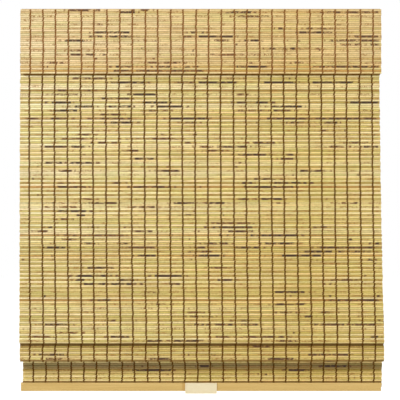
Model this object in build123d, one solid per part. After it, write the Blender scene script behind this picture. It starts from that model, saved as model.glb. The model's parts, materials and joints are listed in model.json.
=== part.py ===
from build123d import *
from math import asin, cos, radians, sin
import os

# Bamboo roman shade. Millimetres: X runs along the shade, Y towards the wall, Z up.
# The origin is the middle of the four wall holes, on the plane of the wall.

# Woven mats: flat bamboo slats laid across, held by warp threads
MAT_W = 686.0
PITCH = 3.84  # from one slat to the next
SLAT_T = 1.3
SLAT_STEP = 0.25  # every other slat stands this far forward, the rest this far back
SLIT = 0.5  # a gap that lets light through
SLIT_EVERY = 5  # slats from one gap to the next
SLIT_MARGIN = 12.0
THREAD_PITCH = 24.2
THREAD_W = 1.6
THREAD_T = 0.6
THREAD_FREE = 3.0  # from the mat's edge to where an outer thread could still lie

# Main mat: runs of slats from the headrail down to the hem, and the slats in each turn
LEAN = 2.3  # degrees that the front run leans into the room
TUCK = 6.3  # degrees that the second fold leans into the room
HEAD_RUN = 19.2
FRONT_RUN = 610.6
FOLD_RUN = 57.6
SECOND_RUN = 92.2
SECOND_FOLD_RUN = 61.4
HEM_RUN = 115.2
NOSE_SLATS = 3
CREST_SLATS = 2
LAST_CREST_SLATS = 3
MAT_DROP = 4.0  # the mat's top edge below the headrail's top

# Valance
VALANCE_H = 122.9
VALANCE_DROP = 1.0  # its top edge below the headrail's top

# Headrail board, with the batten that clamps the main mat and carries the valance
BOARD_INSET = 1.0  # from the mat's edge to the board's end
BOARD_D = 40.0
BOARD_H = 15.0
BATTEN_T = 5.0
BATTEN_H = 19.0
BAY_INSET = 20.0  # the outermost fastener stays this far inside the mat's edge at least
STAPLES = 7
STAPLE_CROWN = 10.0
STAPLE_WIRE = 0.5
STAPLE_LEG = 9.0
STAPLE_SLAT = 1  # the slat that the crowns lie on
BRADS = 5
BRAD_W = 1.2
BRAD_BITE = 12.0  # into the board
BRAD_DROP = 13.0

# Wall brackets
BRACKET_INSET = 20.0  # from the board's end to a bracket's middle
BRACKET_W = 22.0
BRACKET_T = 2.0
BRACKET_REACH = 38.0
BRACKET_H = 45.0
BRACKET_CORNER = 3.0
WALL_HOLE_R = 2.5
WALL_HOLE_RISE = 20.0  # between the two holes of one bracket
WALL_HOLE_DROP = 23.0  # from the board's underside to their middle
BRACKET_SLOT = (4.4, 8.0)  # for the screw under the board: along X, along Y
BRACKET_SCREW_R = 1.9
BRACKET_SCREW_Y = -22.0
BRACKET_SCREW_BITE = 11.0

# Lift channel under the board
CHANNEL_CLEAR = 9.0  # between a cap and a bracket
CHANNEL_D = 34.0
CHANNEL_H = 28.0
CHANNEL_T = 1.0
CHANNEL_SCREW_INSET = 14.0
CHANNEL_SCREW_R = 1.7
CHANNEL_SCREW_BITE = 10.0
CAP_T = 2.0
CAP_PLUG = 5.0
SCREW_HEAD_R = 3.6
SCREW_HEAD = 2.0
SCREW_SIDES = 12
FIT = 0.2  # loose fit between still pieces
RUN_FIT = 0.05  # running clearance of round pieces, on the radius

# Lift shaft, cord spools and their cradles
SHAFT_END = 24.3  # past a spool
SHAFT_AF = 6.0  # across the hexagon's flats
SHAFT_Y = -26.0
SPOOL_R = 7.0
SPOOL_L = 40.0
SPOOL_FLANGE_R = 9.0
SPOOL_FLANGE = 2.0
FLANGE_SIDES = 16
CRADLE_BASE = 2.0
CRADLE_WALL = 3.0
CRADLE_INSET = 3.0  # from the spool's end to the saddle
SADDLE_ANGLE = 45.0  # of the saddle's two faces
GROMMET = (12.0, 4.6, 1.2)  # flange under the channel: along X, along Y, thick
GROMMET_NECK = (8.0, 3.6)
GROMMET_SLOT = (4.0, 2.0)

# Spring motor
MOTOR_L = 80.0
MOTOR_H = 26.4
MOTOR_WALL = 1.5
DRUM_L = 60.0
DRIVE_DRUM_R = 5.5
STORAGE_DRUM_R = 5.0
COIL_CLEAR = 0.3  # between the coil and the housing's back wall
PIN_R = 2.0
COIL_T = 1.5
BAND_T = 0.3
BAND_W = 40.0
COIL_SIDES = 24

# Rings behind the mat, one row to a fold
RING_INSET = 137.3  # from the mat's edge to about where a column of rings hangs, on a thread
RING_SPACING = 161.3  # between rows, along the mat
RING_ROWS = 3
RING_R = 3.5
RING_HOLE_R = 1.9
RING_T = 1.6
RING_SIDES = 12
RING_GAP = 0.3

# Bottom rail
RAIL_OVERHANG = 2.0  # past each edge of the mat
RAIL_H = 16.0
RAIL_T = 4.0
RAIL_GRIP = 9.0  # of the mat's end
RAIL_ROUND = 1.2
PINS = 6
PIN_INSET = 45.0
PIN_W = 1.2
PIN_RISE = 4.0
PIN_BITE = 4.0  # into the front batten

# Pull handle clipped over the rail
HANDLE_W = 60.5
HANDLE_T = 2.0
HANDLE_DROP = 4.2  # below the rail
HANDLE_HOOK = 1.6
HANDLE_RIB = 2.6
HANDLE_RIB_T = 0.8
HANDLE_LIP = 2.0  # how far the finger lip flares into the room

# Cord anchors on the rail's back
ANCHOR = (10.0, 4.0, 7.0)
ANCHOR_HOLE = 2.6

BOARD_L = MAT_W - 2 * BOARD_INSET
RAIL_L = MAT_W + 2 * RAIL_OVERHANG
BRACKET_X = BOARD_L / 2 - BRACKET_INSET
CHANNEL_L = 2 * (BRACKET_X - BRACKET_W / 2 - CHANNEL_CLEAR - CAP_T)
TOP = BOARD_H + WALL_HOLE_DROP  # the headrail's top
BOARD_UNDER = TOP - BOARD_H
BOARD_FRONT = -BOARD_D
FACE = SLAT_T / 2 + SLAT_STEP  # from a mat's middle to its standing slats' faces
THREAD_FACE = FACE + THREAD_T
CHANNEL_Y = -BOARD_D / 2
CHANNEL_FLOOR = BOARD_UNDER - CHANNEL_H + CHANNEL_T
CHANNEL_IN = CHANNEL_D - 2 * CHANNEL_T
SHAFT_Z = (CHANNEL_FLOOR + BOARD_UNDER) / 2
SPOOL_X = (round((MAT_W / 2 - RING_INSET) / THREAD_PITCH - 0.5) + 0.5) * THREAD_PITCH
SHAFT_L = 2 * (SPOOL_X + SPOOL_L / 2 + SHAFT_END)
LAST_BAY = int((MAT_W / 2 - BAY_INSET) / THREAD_PITCH)
STORAGE_Y = CHANNEL_Y + CHANNEL_IN / 2 - FIT - MOTOR_WALL - COIL_CLEAR - COIL_T - STORAGE_DRUM_R
HALF_THREADS = round((MAT_W / 2 - THREAD_FREE) / THREAD_PITCH)
THREAD_XS = [(n + 0.5) * THREAD_PITCH for n in range(-HALF_THREADS, HALF_THREADS)]

MAT_RUNS = [
    (heading, round(length / PITCH))
    for heading, length in (
        (-90.0, HEAD_RUN),
        (-90.0 - LEAN, FRONT_RUN),
        (90.0 - LEAN, FOLD_RUN),
        (-90.0 - TUCK, SECOND_RUN),
        (90.0 - TUCK, SECOND_FOLD_RUN),
        (-90.0, HEM_RUN),
    )
]
MAT_TURNS = (0, NOSE_SLATS, CREST_SLATS, NOSE_SLATS, LAST_CREST_SLATS)

parts = {}


def box(x, y, z):
    """A box from its low and high values along each axis."""
    size = (x[1] - x[0], y[1] - y[0], z[1] - z[0])
    centre = ((x[0] + x[1]) / 2, (y[0] + y[1]) / 2, (z[0] + z[1]) / 2)
    return Pos(*centre) * Box(*size)


def around(middle, length):
    """The low and high value of a length about its middle."""
    return middle - length / 2, middle + length / 2


def prism(outline, length, middle=0.0):
    """A solid with this outline in Y and Z, running along X."""
    wire = Wire.make_polygon([(middle - length / 2, y, z) for y, z in outline], close=True)
    return extrude(Face(wire), amount=length, dir=(1, 0, 0))


def rod_x(radius, length, x, y, z):
    return Pos(x, y, z) * Rot(0, 90, 0) * Cylinder(radius, length)


def rod_y(radius, y, x, z):
    """A round rod along Y, between two values of y."""
    return Pos(x, (y[0] + y[1]) / 2, z) * Rot(90, 0, 0) * Cylinder(radius, y[1] - y[0])


def bar_x(sides, apothem, length, x, y, z):
    """A bar with flat sides, running along X."""
    bar = extrude(RegularPolygon(apothem, sides, major_radius=False), length / 2, both=True)
    return Pos(x, y, z) * Rot(0, 90, 0) * bar


def bar_z(sides, apothem, z, x, y):
    """A bar with flat sides, running along Z between two values."""
    bar = extrude(RegularPolygon(apothem, sides, major_radius=False), z[1] - z[0])
    return Pos(x, y, z[0]) * bar


def hexagon_x():
    """The bar that the shaft is, and the bore of what it drives."""
    return bar_x(6, SHAFT_AF / 2, SHAFT_L, 0, SHAFT_Y, SHAFT_Z)


def wood_screw(shank_r, under, bite, x, y):
    """A screw driven up from under a sheet into the board."""
    head = bar_z(SCREW_SIDES, SCREW_HEAD_R, (under - SCREW_HEAD, under), x, y)
    return head + bar_z(SCREW_SIDES // 2, shank_r, (under, BOARD_UNDER + bite), x, y)


class Weave:
    """A mat's section: slats one pitch long, each hinged to the next."""

    def __init__(self, start, headings):
        self.headings = headings
        self.hinges = [start]
        for a in headings:
            y, z = self.hinges[-1]
            step = PITCH * cos(radians(a)), PITCH * sin(radians(a))
            self.hinges.append((y + step[0], z + step[1]))

    def off(self, k, distance):
        """The point this far in front of hinge k, where the faces of its two slats meet."""
        before = self.headings[max(k - 1, 0)]
        after = self.headings[min(k, len(self.headings) - 1)]
        middle, bend = radians((before + after) / 2), radians(after - before)
        reach = distance / cos(bend / 2)
        return self.hinges[k][0] + reach * sin(middle), self.hinges[k][1] - reach * cos(middle)

    def wall(self, width):
        """All the slats as one wall, every other one standing forward."""
        front, back = [], []
        for k in range(len(self.headings)):
            step = SLAT_STEP if k % 2 else -SLAT_STEP
            front += [self.off(k, step + SLAT_T / 2), self.off(k + 1, step + SLAT_T / 2)]
            back += [self.off(k, step - SLAT_T / 2), self.off(k + 1, step - SLAT_T / 2)]
        return prism(front + back[::-1], width)

    def thread(self, first, last, side, x):
        """One warp thread lying on a face of the mat, from one hinge to another."""
        bends = [k for k in range(first + 1, last) if self.headings[k - 1] != self.headings[k]]
        stops = [first, *bends, last]
        inner = [self.off(k, side * FACE) for k in stops]
        outer = [self.off(k, side * THREAD_FACE) for k in stops]
        return prism(inner + outer[::-1], THREAD_W, x)

    def slits(self, hinges, width):
        """Cutters for the gaps between slats at these hinges."""
        long = width - 2 * SLIT_MARGIN
        cutter = Box(long, 4 * FACE, SLIT)
        return [
            Pos(0, *self.hinges[k]) * Rot(self.headings[k] + 90, 0, 0) * cutter
            for k in hinges
        ]


def main_weave():
    headings = []
    for n, (heading, slats) in enumerate(MAT_RUNS):
        headings += [heading] * slats
        if n < len(MAT_TURNS):
            turn = (MAT_RUNS[n + 1][0] - heading) / (MAT_TURNS[n] + 1)
            headings += [heading + turn * (k + 1) for k in range(MAT_TURNS[n])]
    return Weave((BOARD_FRONT - THREAD_FACE, TOP - MAT_DROP), headings)


def run_start(n):
    """The hinge at which run n of the main mat starts."""
    return sum(slats for _, slats in MAT_RUNS[:n]) + sum(MAT_TURNS[:n])


def run_end(n):
    return run_start(n) + MAT_RUNS[n][1]


MAIN = main_weave()
NOSE_1 = run_end(1) + MAT_TURNS[1] // 2 + 1  # just past the lowest hinge of the first fold
NOSE_2 = run_end(3) + MAT_TURNS[3] // 2 + 1
CREST_1 = run_end(2) + MAT_TURNS[2] // 2
HEM = MAIN.hinges[-1]
RAIL_Y = HEM[0]
RAIL_TOP = HEM[1] + RAIL_GRIP
RAIL_UNDER = RAIL_TOP - RAIL_H
RAIL_SLOT = FACE + FIT / 2  # half of the slot that holds the mat
RAIL_FRONT = RAIL_Y - RAIL_SLOT - RAIL_T
RAIL_BACK = RAIL_Y + RAIL_SLOT + RAIL_T
BATTEN_BACK = BOARD_FRONT - 2 * THREAD_FACE
VALANCE_SLATS = round(VALANCE_H / PITCH)
VALANCE = Weave((BATTEN_BACK - BATTEN_T - FACE, TOP - VALANCE_DROP), [-90.0] * VALANCE_SLATS)


def make_mats():
    """The long mat and the valance, with the gaps that let light through."""
    covered = TOP - BATTEN_H - PITCH
    first = next(k for k in range(run_start(1), run_end(1)) if MAIN.hinges[k][1] < covered)
    slits = MAIN.slits(range(first, run_end(1) - 1, SLIT_EVERY), MAT_W)
    parts["main_mat"] = MAIN.wall(MAT_W) - slits
    low = range(SLIT_EVERY, VALANCE_SLATS - 1, SLIT_EVERY)
    parts["valance_mat"] = VALANCE.wall(MAT_W) - VALANCE.slits(low, MAT_W)


def make_threads():
    rail_top = max(k for k in range(run_start(5), run_end(5)) if MAIN.hinges[k][1] > RAIL_TOP)
    runs = (
        (0, NOSE_1, 1),
        (0, run_end(1), -1),
        (run_start(3), NOSE_2, 1),
        (run_start(5), rail_top, 1),
        (run_start(5), rail_top, -1),
    )
    parts["main_threads"] = Compound(
        children=[MAIN.thread(*run, x) for run in runs for x in THREAD_XS]
    )
    parts["valance_threads"] = Compound(
        children=[VALANCE.thread(0, VALANCE_SLATS, 1, x) for x in THREAD_XS]
    )


def staple(x, y, z):
    """A wire staple, its crown lying on the mat and its legs driven into the board."""
    crown = box(around(x, STAPLE_CROWN), (y - STAPLE_WIRE, y), around(z, STAPLE_WIRE))
    inner = (STAPLE_CROWN - STAPLE_WIRE) / 2
    legs = [
        box(around(x + n * inner, STAPLE_WIRE), (y, y + STAPLE_LEG), around(z, STAPLE_WIRE))
        for n in (-1, 1)
    ]
    return crown + legs


def bays(count, last):
    """The places of so many fasteners, each midway between two threads."""
    half = (count - 1) / 2
    return [round(last * (n - half) / half) * THREAD_PITCH for n in range(count)]


def make_headrail():
    board = box(around(0, BOARD_L), (BOARD_FRONT, 0), (BOARD_UNDER, TOP))
    parts["headrail_board"] = chamfer(board.edges().filter_by(Axis.X).sort_by(Axis.Y)[2:], 1.0)
    thick = BATTEN_BACK - BATTEN_T, BATTEN_BACK
    parts["valance_batten"] = box(around(0, BOARD_L), thick, (TOP - BATTEN_H, TOP))
    face = BOARD_FRONT - THREAD_FACE - FACE
    z = TOP - MAT_DROP - (STAPLE_SLAT + 0.5) * PITCH
    parts["head_staples"] = Compound(
        children=[staple(x, face, z) for x in bays(STAPLES, LAST_BAY)]
    )
    long = BATTEN_BACK - BATTEN_T, BOARD_FRONT + BRAD_BITE
    parts["batten_brads"] = Compound(
        children=[
            box(around(x, BRAD_W), long, around(TOP - BRAD_DROP, BRAD_W))
            for x in bays(BRADS, LAST_BAY - 1)
        ]
    )


def wall_bracket(side):
    """A bent steel angle: one leg under the board, the other down the wall."""
    low = BOARD_UNDER - BRACKET_H
    x = around(side * BRACKET_X, BRACKET_W)
    shelf = box(x, (-BRACKET_REACH, 0), (BOARD_UNDER - BRACKET_T, BOARD_UNDER))
    leg = box(x, (-BRACKET_T, 0), (low, BOARD_UNDER))
    angle = shelf + leg
    corners = angle.edges().filter_by(Axis.X).sort_by(
        lambda e: abs(e.center().Y + BRACKET_T) + abs(e.center().Z - BOARD_UNDER + BRACKET_T)
    )
    angle = fillet(corners[0], BRACKET_T)
    ends = angle.edges().filter_by(Axis.Z).sort_by(Axis.Y)[:2]
    ends += angle.edges().filter_by(Axis.Y).sort_by(Axis.Z)[:2]
    angle = chamfer(ends, BRACKET_CORNER)
    middle = BOARD_UNDER - WALL_HOLE_DROP
    through = -BRACKET_T, 0
    holes = [
        rod_y(WALL_HOLE_R, through, side * BRACKET_X, z) for z in around(middle, WALL_HOLE_RISE)
    ]
    slot = box(
        around(side * BRACKET_X, BRACKET_SLOT[0]),
        around(BRACKET_SCREW_Y, BRACKET_SLOT[1]),
        (BOARD_UNDER - BRACKET_T, BOARD_UNDER),
    )
    return angle - holes - slot


def make_brackets():
    for name, side in (("left", -1), ("right", 1)):
        parts[f"wall_bracket_{name}"] = wall_bracket(side)
    under = BOARD_UNDER - BRACKET_T
    parts["bracket_screws"] = Compound(
        children=[
            wood_screw(BRACKET_SCREW_R, under, BRACKET_SCREW_BITE, x, BRACKET_SCREW_Y)
            for x in (-BRACKET_X, BRACKET_X)
        ]
    )


def grommet_y():
    """Where the cord leaves the front of its spool."""
    return SHAFT_Y - SPOOL_R


def make_channel():
    under = CHANNEL_FLOOR - CHANNEL_T
    x = around(0, CHANNEL_L)
    outer = box(x, around(CHANNEL_Y, CHANNEL_D), (under, BOARD_UNDER))
    hollow = box(x, around(CHANNEL_Y, CHANNEL_IN), (CHANNEL_FLOOR, BOARD_UNDER))
    floor = under, CHANNEL_FLOOR
    screws = around(0, CHANNEL_L - 2 * CHANNEL_SCREW_INSET)
    cuts = [bar_z(SCREW_SIDES, CHANNEL_SCREW_R + FIT, floor, x, CHANNEL_Y) for x in screws]
    cuts += [
        box(around(x, GROMMET_NECK[0]), around(grommet_y(), GROMMET_NECK[1]), floor)
        for x in (-SPOOL_X, SPOOL_X)
    ]
    parts["lift_channel"] = outer - hollow - cuts
    parts["channel_screws"] = Compound(
        children=[
            wood_screw(CHANNEL_SCREW_R, under, CHANNEL_SCREW_BITE, x, CHANNEL_Y) for x in screws
        ]
    )
    for name, side in (("left", -1), ("right", 1)):
        end = side * CHANNEL_L / 2
        out = sorted((end, end + side * CAP_T))
        plate = box(out, around(CHANNEL_Y, CHANNEL_D), (under, BOARD_UNDER))
        plug = box(
            sorted((end, end - side * CAP_PLUG)),
            around(CHANNEL_Y, CHANNEL_IN - 2 * FIT),
            (CHANNEL_FLOOR + FIT, BOARD_UNDER - FIT),
        )
        parts[f"channel_cap_{name}"] = plate + plug
        flange = box(
            around(side * SPOOL_X, GROMMET[0]),
            around(grommet_y(), GROMMET[1]),
            (under - GROMMET[2], under),
        )
        neck = box(
            around(side * SPOOL_X, GROMMET_NECK[0]),
            around(grommet_y(), GROMMET_NECK[1]),
            floor,
        )
        slot = box(
            around(side * SPOOL_X, GROMMET_SLOT[0]),
            around(grommet_y(), GROMMET_SLOT[1]),
            (under - GROMMET[2], CHANNEL_FLOOR),
        )
        parts[f"cord_grommet_{name}"] = flange + neck - slot


def saddle_notch(length, x):
    """The cutter for a V seat that a spool's barrel turns in, open at the top."""
    r = SPOOL_R + RUN_FIT
    half = radians(SADDLE_ANGLE)
    side = r * cos(half) + r * sin(half) * sin(half) / cos(half)
    outline = [
        (SHAFT_Y - side, SHAFT_Z),
        (SHAFT_Y, SHAFT_Z - r / cos(half)),
        (SHAFT_Y + side, SHAFT_Z),
    ]
    return prism(outline, length, x)


def spool_cradle(side):
    x = side * SPOOL_X
    y = around(CHANNEL_Y, CHANNEL_IN - 2 * FIT)
    base = box(around(x, SPOOL_L), y, (CHANNEL_FLOOR, CHANNEL_FLOOR + CRADLE_BASE))
    cord = box(
        around(x, GROMMET_NECK[0]), around(grommet_y(), GROMMET_NECK[1]), (CHANNEL_FLOOR, SHAFT_Z)
    )
    inset = SPOOL_L / 2 - CRADLE_INSET - CRADLE_WALL / 2
    walls = [
        box(around(x + n * inset, CRADLE_WALL), y, (CHANNEL_FLOOR, SHAFT_Z)) for n in (-1, 1)
    ]
    return base + walls - saddle_notch(SPOOL_L, x) - cord


def make_lift():
    parts["lift_shaft"] = hexagon_x()
    for name, side in (("left", -1), ("right", 1)):
        x = side * SPOOL_X
        flange_x = x + side * (SPOOL_L - SPOOL_FLANGE) / 2
        barrel = rod_x(SPOOL_R, SPOOL_L, x, SHAFT_Y, SHAFT_Z)
        flange = bar_x(FLANGE_SIDES, SPOOL_FLANGE_R, SPOOL_FLANGE, flange_x, SHAFT_Y, SHAFT_Z)
        parts[f"spool_{name}"] = barrel + flange - hexagon_x()
        parts[f"spool_cradle_{name}"] = spool_cradle(side)


def make_band(y, z):
    """The spring band: its coil on the storage drum, and the run across to the drive drum."""
    coil_r = STORAGE_DRUM_R + COIL_T
    angle = asin((coil_r + DRIVE_DRUM_R) / (y - SHAFT_Y))
    across = sin(angle), -cos(angle)

    def beside(centre, r):
        return [(centre + n * across[0], z + n * across[1]) for n in r]

    run = beside(y, (-coil_r, BAND_T - coil_r))
    run += beside(SHAFT_Y, (DRIVE_DRUM_R + BAND_T, DRIVE_DRUM_R))
    coil = bar_x(COIL_SIDES, coil_r, BAND_W, 0, y, z)
    coil -= bar_x(COIL_SIDES, STORAGE_DRUM_R, BAND_W, 0, y, z)
    return coil + prism(run, BAND_W)


def make_motor():
    y = around(CHANNEL_Y, CHANNEL_IN - 2 * FIT)
    cover_z = CHANNEL_FLOOR + MOTOR_H - MOTOR_WALL
    shell = box(around(0, MOTOR_L), y, (CHANNEL_FLOOR, cover_z))
    room = box(
        around(0, MOTOR_L - 2 * MOTOR_WALL),
        (y[0] + MOTOR_WALL, y[1] - MOTOR_WALL),
        (CHANNEL_FLOOR + MOTOR_WALL, cover_z),
    )
    shaft_r = SHAFT_AF / 2 / cos(radians(30)) + FIT
    long = around(0, MOTOR_L)
    notches = [
        box(long, around(SHAFT_Y, 2 * shaft_r), (SHAFT_Z - shaft_r, cover_z)),
        box(long, around(STORAGE_Y, 2 * PIN_R), (SHAFT_Z - PIN_R, cover_z)),
    ]
    parts["motor_housing"] = shell - room - notches
    parts["motor_cover"] = box(long, y, (cover_z, CHANNEL_FLOOR + MOTOR_H))
    parts["storage_pin"] = rod_x(PIN_R, MOTOR_L, 0, STORAGE_Y, SHAFT_Z)
    parts["drive_drum"] = rod_x(DRIVE_DRUM_R, DRUM_L, 0, SHAFT_Y, SHAFT_Z) - hexagon_x()
    drum = rod_x(STORAGE_DRUM_R, DRUM_L, 0, STORAGE_Y, SHAFT_Z)
    parts["storage_drum"] = drum - rod_x(PIN_R + RUN_FIT, DRUM_L, 0, STORAGE_Y, SHAFT_Z)
    parts["spring_band"] = make_band(STORAGE_Y, SHAFT_Z)


def ring(x, y, z):
    height = z - RING_T / 2, z + RING_T / 2
    return bar_z(RING_SIDES, RING_R, height, x, y) - bar_z(RING_SIDES, RING_HOLE_R, height, x, y)


def ring_pair(y, z):
    return Compound(children=[ring(x, y, z) for x in (-SPOOL_X, SPOOL_X)])


def make_rings():
    for row in range(1, RING_ROWS + 1):
        k = CREST_1 - (RING_ROWS + 1 - row) * round(RING_SPACING / PITCH)
        y, z = MAIN.off(k, -THREAD_FACE)
        parts[f"ring_row_{row}"] = ring_pair(y + RING_GAP + RING_R, z)
    for name, run in (("upper", 2), ("lower", 4)):
        over = range(run_end(run), run_start(run + 1) + 1)
        crest = [MAIN.off(k, -FACE) for k in over]
        y = sum(p[0] for p in crest) / len(crest)
        z = max(p[1] for p in crest) + RING_GAP + RING_T / 2
        parts[f"crest_rings_{name}"] = ring_pair(y, z)


def make_rail():
    joint = RAIL_Y + RAIL_SLOT
    front = box(around(0, RAIL_L), (RAIL_FRONT, joint), (RAIL_UNDER, RAIL_TOP))
    slot = box(around(0, RAIL_L), (RAIL_Y - RAIL_SLOT, joint), (HEM[1] - FIT, RAIL_TOP))
    front = front - slot
    front = fillet(front.edges().filter_by(Axis.X).sort_by(Axis.Y)[:2], RAIL_ROUND)
    back = box(around(0, RAIL_L), (joint, RAIL_BACK), (RAIL_UNDER, RAIL_TOP))
    back = fillet(back.edges().filter_by(Axis.X).sort_by(Axis.Y)[2:], RAIL_ROUND)
    parts["rail_front"] = front
    parts["rail_back"] = back
    bite = joint - PIN_BITE, RAIL_BACK
    height = around(RAIL_UNDER + PIN_RISE, PIN_W)
    pitch = (RAIL_L - 2 * PIN_INSET) / (PINS - 1)
    xs = [(n - (PINS - 1) / 2) * pitch for n in range(PINS)]
    parts["rail_pins"] = Compound(
        children=[box(around(x, PIN_W), bite, height) for x in xs]
    )
    for name, side in (("left", -1), ("right", 1)):
        block = box(
            around(side * SPOOL_X, ANCHOR[0]),
            (RAIL_BACK, RAIL_BACK + ANCHOR[1]),
            around(RAIL_TOP - RAIL_H / 2, ANCHOR[2]),
        )
        ends = block.edges().filter_by(Axis.Z).sort_by(Axis.Y)[2:]
        block = chamfer(ends, ANCHOR[1] / 4)
        eye = box(
            around(side * SPOOL_X, ANCHOR_HOLE),
            around(RAIL_BACK + ANCHOR[1] / 2, ANCHOR_HOLE / 2),
            around(RAIL_TOP - RAIL_H / 2, ANCHOR[2]),
        )
        parts[f"cord_anchor_{name}"] = block - eye


def make_handle():
    """A moulded clip: a front plate with side ribs and a finger lip, a web and a hooked back."""
    low = RAIL_UNDER - HANDLE_DROP
    front = RAIL_FRONT - HANDLE_T
    lip = HANDLE_LIP, HANDLE_DROP - HANDLE_T
    outline = [
        (front, RAIL_TOP),
        (front, low + lip[1]),
        (front - lip[0], low),
        (RAIL_FRONT - lip[0] + HANDLE_T / 2, low),
        (RAIL_FRONT, low + lip[1]),
        (RAIL_BACK + HANDLE_T, low + lip[1]),
        (RAIL_BACK + HANDLE_T, RAIL_TOP + HANDLE_T),
        (RAIL_BACK - HANDLE_HOOK, RAIL_TOP + HANDLE_T),
        (RAIL_BACK - HANDLE_HOOK, RAIL_TOP),
        (RAIL_BACK, RAIL_TOP),
        (RAIL_BACK, RAIL_UNDER),
        (RAIL_FRONT, RAIL_UNDER),
        (RAIL_FRONT, RAIL_TOP),
    ]
    clip = prism(outline, HANDLE_W)
    edge = (HANDLE_W - HANDLE_RIB) / 2
    ribs = [
        box(around(n * edge, HANDLE_RIB), (front - HANDLE_RIB_T, front), (low + lip[1], RAIL_TOP))
        for n in (-1, 1)
    ]
    parts["pull_handle"] = clip + ribs


def write_parts():
    os.makedirs("parts", exist_ok=True)
    for name, shape in parts.items():
        export_step(shape, f"parts/{name}.step")


make_mats()
make_threads()
make_headrail()
make_brackets()
make_channel()
make_lift()
make_motor()
make_rings()
make_rail()
make_handle()
write_parts()
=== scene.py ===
import bpy
import json
import random
from math import cos, pi, radians, sin
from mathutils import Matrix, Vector


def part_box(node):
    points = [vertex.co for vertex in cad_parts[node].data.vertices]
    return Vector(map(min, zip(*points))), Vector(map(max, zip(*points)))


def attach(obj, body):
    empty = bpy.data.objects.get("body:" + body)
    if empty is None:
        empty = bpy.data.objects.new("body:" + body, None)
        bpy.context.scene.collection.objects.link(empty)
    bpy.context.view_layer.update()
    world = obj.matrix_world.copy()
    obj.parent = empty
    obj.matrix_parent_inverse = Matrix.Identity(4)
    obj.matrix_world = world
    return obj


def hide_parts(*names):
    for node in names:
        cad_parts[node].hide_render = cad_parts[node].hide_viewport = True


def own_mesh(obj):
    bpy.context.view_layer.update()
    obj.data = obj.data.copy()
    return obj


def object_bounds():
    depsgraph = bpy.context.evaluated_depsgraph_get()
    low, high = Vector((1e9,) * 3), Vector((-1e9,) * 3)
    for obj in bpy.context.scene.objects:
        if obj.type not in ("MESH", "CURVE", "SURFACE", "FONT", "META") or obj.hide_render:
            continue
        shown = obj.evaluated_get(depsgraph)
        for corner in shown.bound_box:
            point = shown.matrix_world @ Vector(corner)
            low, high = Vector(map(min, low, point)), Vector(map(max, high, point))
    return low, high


# Bamboo roman shade. Metres, in the frame's axes: X along the shade, Y towards the wall, Z up.

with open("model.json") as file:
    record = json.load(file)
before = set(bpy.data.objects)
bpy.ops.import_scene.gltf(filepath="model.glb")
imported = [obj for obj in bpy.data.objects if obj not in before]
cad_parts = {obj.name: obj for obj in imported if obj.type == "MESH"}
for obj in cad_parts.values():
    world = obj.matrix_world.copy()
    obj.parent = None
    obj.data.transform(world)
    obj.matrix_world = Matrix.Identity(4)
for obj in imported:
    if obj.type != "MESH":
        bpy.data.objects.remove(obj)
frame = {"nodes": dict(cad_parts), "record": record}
CAD_BOX = [list(corner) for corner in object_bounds()]

# Photograph
PHOTO_PX = 400
PX = 0.001906  # metres to a pixel at the front of the mats
PX_MIDDLE = 201.0  # the pixel column of x = 0
PX_TOP = 8.7  # the pixel row of the headrail's top
CAMERA_Y = -2.55
CAMERA_DISTANCE = 2.5  # from the camera to where a pixel measures PX
SENSOR_MM = 36.0
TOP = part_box("headrail_board")[1].z

# Woven mats
PITCH = 0.00384
SLAT_T = 0.0013
SLAT_STEP = 0.00025  # the odd slats stand this far forward, and the even ones as far back
FACE = SLAT_T / 2 + SLAT_STEP
BOARD_GAP = 0.0006  # between the headrail and the mat
LEAN = 2.3
TUCK = 6.3
MAT_RUNS = (  # the main mat's straight runs: the heading in degrees, and the slats
    (-90.0, 5),
    (-90.0 - LEAN, 159),
    (90.0 - LEAN, 15),
    (-90.0 - TUCK, 24),
    (90.0 - TUCK, 16),
    (-90.0, 30),
)
MAT_TURNS = (0, 3, 2, 3, 3)  # the slats that turn from each run to the next
VALANCE_SLATS = 32
VALANCE_NUMBER = 500  # numbers the valance's slats apart from the main mat's
VALANCE_SHIFT = 20  # from this slat down the even slats of the valance are the dark ones
HEM_SHOWN = 252  # from this slat down the hem is in the light

# The left and right ends of the slats
PANEL_ENDS = ((-0.3452, 0.3403), (-0.3437, 0.3470))  # at the panel's top, and at its foot
FOLD_ENDS = (-0.3443, 0.3478)
HEM_ENDS = (-0.3418, 0.3470)
VALANCE_ENDS = (-0.3442, 0.3436)

# Slats
CREAM_W = 0.00414
OLIVE_W = 0.00380
END_PLAY = 0.0006  # how far an end may lie from where it should
SLAT_SPANS = 40
SECTION = (  # across the slat and out of it, as shares of its width and thickness
    (-0.5, -0.2),
    (-0.4, -0.5),
    (0.4, -0.5),
    (0.5, -0.2),
    (0.46, 0.3),
    (0.25, 0.5),
    (-0.25, 0.5),
    (-0.46, 0.3),
)
WAVES = {  # the size and the stride of each way in which a slat is uneven
    "drift": (0.00004, 0.09),  # up and down
    "swell": (0.00007, 0.07),  # in width
    "bow": (0.00008, 0.12),  # forward and back
    "shade": (0.11, 0.045),  # lighter and darker
    "hue": (1.0, 0.05),  # pinker and greener
    "rough": (1.0, 0.008),  # in its marks
}
GRAIN_STEP = 0.137  # between the grain of one slat and that of the next
SHARP_ANGLE = radians(50)

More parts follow.
